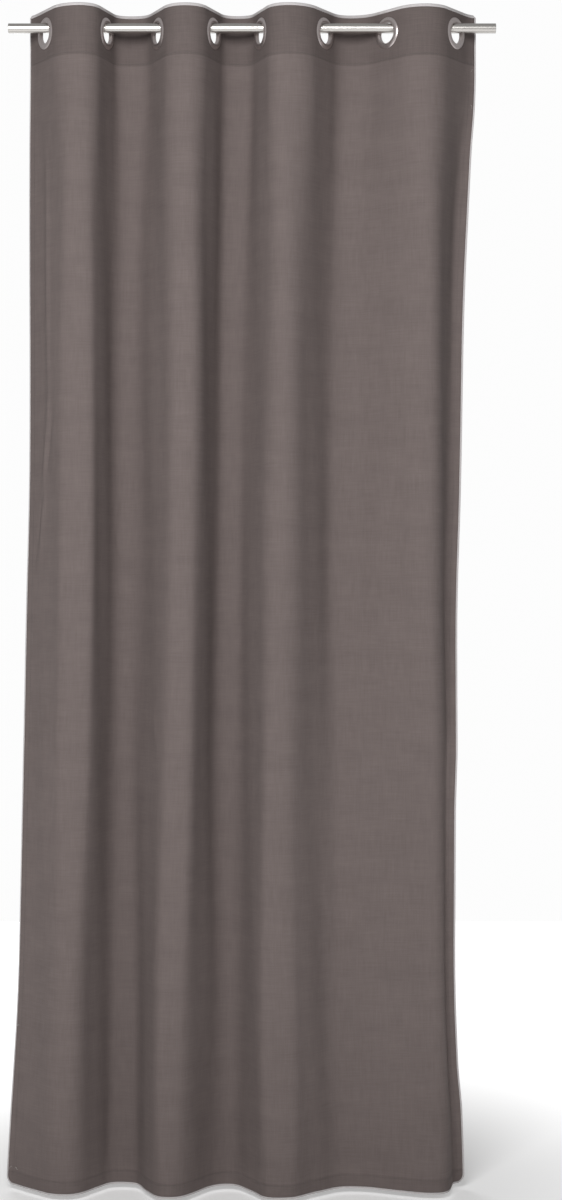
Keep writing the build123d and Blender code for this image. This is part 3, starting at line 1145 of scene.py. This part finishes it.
class CURTAIN_OT_care_label(bpy.types.Operator):
    """Sew the blank care label on the back of the bottom hem"""

    bl_idname = "curtain.care_label"
    bl_label = "Care label"

    WIDTH = 38.0 * MM
    HEIGHT = 20.0 * MM

    def execute(self, context):
        cloth = panel()
        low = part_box("care_label")[0][2]
        middle = cloth.flat_eyelets[-1]
        rows = []
        for z in stops(low, low + self.HEIGHT, 2.0 * MM):
            share = (z - low) / self.HEIGHT
            lifted = 0.45 * MM + 0.9 * MM * (1 - share) ** 2
            rows.append((z, LAYER_MIDDLE + sizes().ply / 2 + lifted, 0.18 * MM, 0.0, 1.0))
        columns = stops(middle - self.WIDTH / 2, middle + self.WIDTH / 2, 3.0 * MM)
        thing = sheet_mesh("blank_care_label", cloth, columns, rows)
        material = woven_material(
            "Satin label tape", colours().label, pitch=0.6 * MM, streaks=0.08, bump=0.2, sheen=0.2
        )
        finish_piece(thing, ["care_label"], material)
        return {"FINISHED"}


class CURTAIN_OT_declare_cloth(bpy.types.Operator):
    """Work out where the cloth lies; this step adds nothing further"""

    bl_idname = "curtain.declare_cloth"
    bl_label = "State the cloth"

    def execute(self, context):
        cloth = panel()
        return {"FINISHED"}


class CURTAIN_OT_fittings(bpy.types.Operator):
    """Finish the pole and the eyelets"""

    bl_idname = "curtain.fittings"
    bl_label = "Pole and eyelets"

    SHARP = math.radians(38.0)

    def execute(self, context):
        drawn_out = (0.03, 1.0, 1.0)
        even = (1.0, 1.0, 1.0)
        pole = brushed_material(
            "Satin steel pole", colours().pole, roughness=0.30, metallic=1.0, stretch=drawn_out, scratch=0.02
        )
        eyelet = brushed_material(
            "Satin nickel eyelet", colours().eyelet, roughness=0.30, metallic=0.9, stretch=even, scratch=0.02
        )
        dressed = [("pole_tube", pole, "pole")]
        for kind in ("eyelet_front_ring", "eyelet_back_ring"):
            dressed += [(name, eyelet, "eyelet") for name in node_names(kind)]
        for name, material, slot_name in dressed:
            thing = frame["nodes"][name]
            thing.data.materials.clear()
            thing.data.materials.append(material)
            thing.data.polygons.foreach_set("use_smooth", np.ones(len(thing.data.polygons), bool))
            thing.data.set_sharp_from_angle(angle=self.SHARP)
        return {"FINISHED"}


class CURTAIN_OT_studio(bpy.types.Operator):
    """Set up the pale floor, the soft light and the camera"""

    bl_idname = "curtain.studio"
    bl_label = "Studio"

    FLOOR_REACH = 4.0
    FLOOR_GAP = 10.0 * MM
    CAMERA_PLACE = (0.060, -4.70, -1.187)
    LENS = 67.9
    SENSOR = 36.0

    def soft_light(self, name, spot, target, size, power):
        lamp = bpy.data.lights.new(name, "AREA")
        lamp.shape = "RECTANGLE"
        lamp.size, lamp.size_y = size
        lamp.energy = power
        thing = bpy.data.objects.new(name, lamp)
        thing.location = spot
        direction = np.array(target, float) - np.array(spot, float)
        flat_run = math.hypot(direction[0], direction[1])
        thing.rotation_euler = (
            math.pi / 2 + math.atan2(direction[2], flat_run),
            0.0,
            math.atan2(-direction[0], direction[1]),
        )
        bpy.context.scene.collection.objects.link(thing)

    def execute(self, context):
        scene = bpy.context.scene
        floor_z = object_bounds()[0][2] - self.FLOOR_GAP
        reach = self.FLOOR_REACH
        corners = [(-reach, -reach, 0.0), (reach, -reach, 0.0), (reach, reach, 0.0), (-reach, reach, 0.0)]
        floor = add_mesh("studio_floor", corners, [[0, 1, 2, 3]])
        floor.location.z = floor_z
        material, tree, shader = new_material("Pale floor", 0.9)
        mottle = add_node(tree, "ShaderNodeTexNoise")
        mottle.inputs["Scale"].default_value = 3.0
        shade = math_node(tree, "MULTIPLY_ADD", mottle.outputs["Fac"], 0.01, 0.995)
        wire(tree, tinted(tree, colours().floor, shade), shader.inputs["Base Color"])
        shader.inputs["Specular IOR Level"].default_value = 0.1
        spot = add_node(tree, "ShaderNodeTexCoord")
        away = add_node(tree, "ShaderNodeVectorMath", operation="LENGTH")
        wire(tree, spot.outputs["Object"], away.inputs[0])
        glow = add_node(tree, "ShaderNodeMapRange", interpolation_type="SMOOTHSTEP")
        set_inputs(glow, {"From Min": 0.3, "From Max": 1.5, "To Min": 0.26, "To Max": 0.86})
        wire(tree, away.outputs["Value"], glow.inputs["Value"])
        wire(tree, glow.outputs["Result"], shader.inputs["Emission Color"])
        shader.inputs["Emission Strength"].default_value = 1.0
        floor.data.materials.append(material)
        floor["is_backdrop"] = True

        world = bpy.data.worlds.new("Studio air")
        world.use_nodes = True
        air = world.node_tree
        soft = air.nodes["Background"]
        set_inputs(soft, {"Color": (1.0, 1.0, 1.0, 1.0), "Strength": 0.10})
        seen = add_node(air, "ShaderNodeBackground")
        set_inputs(seen, {"Color": (1.0, 1.0, 1.0, 1.0), "Strength": 0.98})
        either = add_node(air, "ShaderNodeMixShader")
        path = add_node(air, "ShaderNodeLightPath")
        mirrored = math_node(air, "MULTIPLY", path.outputs["Is Glossy Ray"], 0.33)
        wire(air, math_node(air, "MAXIMUM", path.outputs["Is Camera Ray"], mirrored), either.inputs[0])
        wire(air, soft.outputs[0], either.inputs[1])
        wire(air, seen.outputs[0], either.inputs[2])
        wire(air, either.outputs[0], air.nodes["World Output"].inputs["Surface"])
        scene.world = world
        self.soft_light("key_light", (-0.55, -3.1, 0.35), (-0.1, 0.0, -0.6), (1.5, 1.3), 80.0)
        self.soft_light("rear_light", (-1.5, 4.5, 0.4), (0.0, 0.0, -1.0), (2.2, 2.2), 60.0)

        lens = bpy.data.cameras.new("panel_camera")
        lens.lens = self.LENS
        lens.sensor_width = self.SENSOR
        lens.sensor_fit = "AUTO"
        lens.clip_end = 60.0
        camera = bpy.data.objects.new("panel_camera", lens)
        camera.location = self.CAMERA_PLACE
        camera.rotation_euler = (math.pi / 2, 0.0, 0.0)
        scene.collection.objects.link(camera)
        scene.camera = camera
        scene.view_settings.view_transform = "Standard"
        return {"FINISHED"}


PIECE_OPERATORS = (
    CURTAIN_OT_cloth,
    CURTAIN_OT_side_hems,
    CURTAIN_OT_heading_tape,
    CURTAIN_OT_edge_binding,
    CURTAIN_OT_stitches,
    CURTAIN_OT_thread_ends,
    CURTAIN_OT_care_label,
    CURTAIN_OT_declare_cloth,
    CURTAIN_OT_fittings,
    CURTAIN_OT_studio,
)


class CURTAIN_PT_panel(bpy.types.Panel):
    """Sizes, colours and pieces of the curtain"""

    bl_idname = "CURTAIN_PT_panel"
    bl_label = "Eyelet curtain"
    bl_space_type = "VIEW_3D"
    bl_region_type = "UI"
    bl_category = "Curtain"

    def draw(self, context):
        layout = self.layout
        for title, settings in (("Sizes", sizes()), ("Colours", colours())):
            box = layout.box()
            box.label(text=title)
            for name in settings.bl_rna.properties.keys():
                if name not in ("rna_type", "name"):
                    box.prop(settings, name)
        pieces = layout.box()
        pieces.label(text="Pieces")
        for operator in PIECE_OPERATORS:
            pieces.operator(operator.bl_idname)


CLASSES = (CurtainSizes, CurtainColours, *PIECE_OPERATORS, CURTAIN_PT_panel)


def register():
    for each in CLASSES:
        bpy.utils.register_class(each)
    bpy.types.Scene.curtain_sizes = PointerProperty(type=CurtainSizes)
    bpy.types.Scene.curtain_colours = PointerProperty(type=CurtainColours)


def unregister():
    del bpy.types.Scene.curtain_colours
    del bpy.types.Scene.curtain_sizes
    for each in reversed(CLASSES):
        bpy.utils.unregister_class(each)


def main():
    register()
    for operator in PIECE_OPERATORS:
        getattr(bpy.ops.curtain, operator.bl_idname.split(".")[1])()


if __name__ == "__main__":
    main()
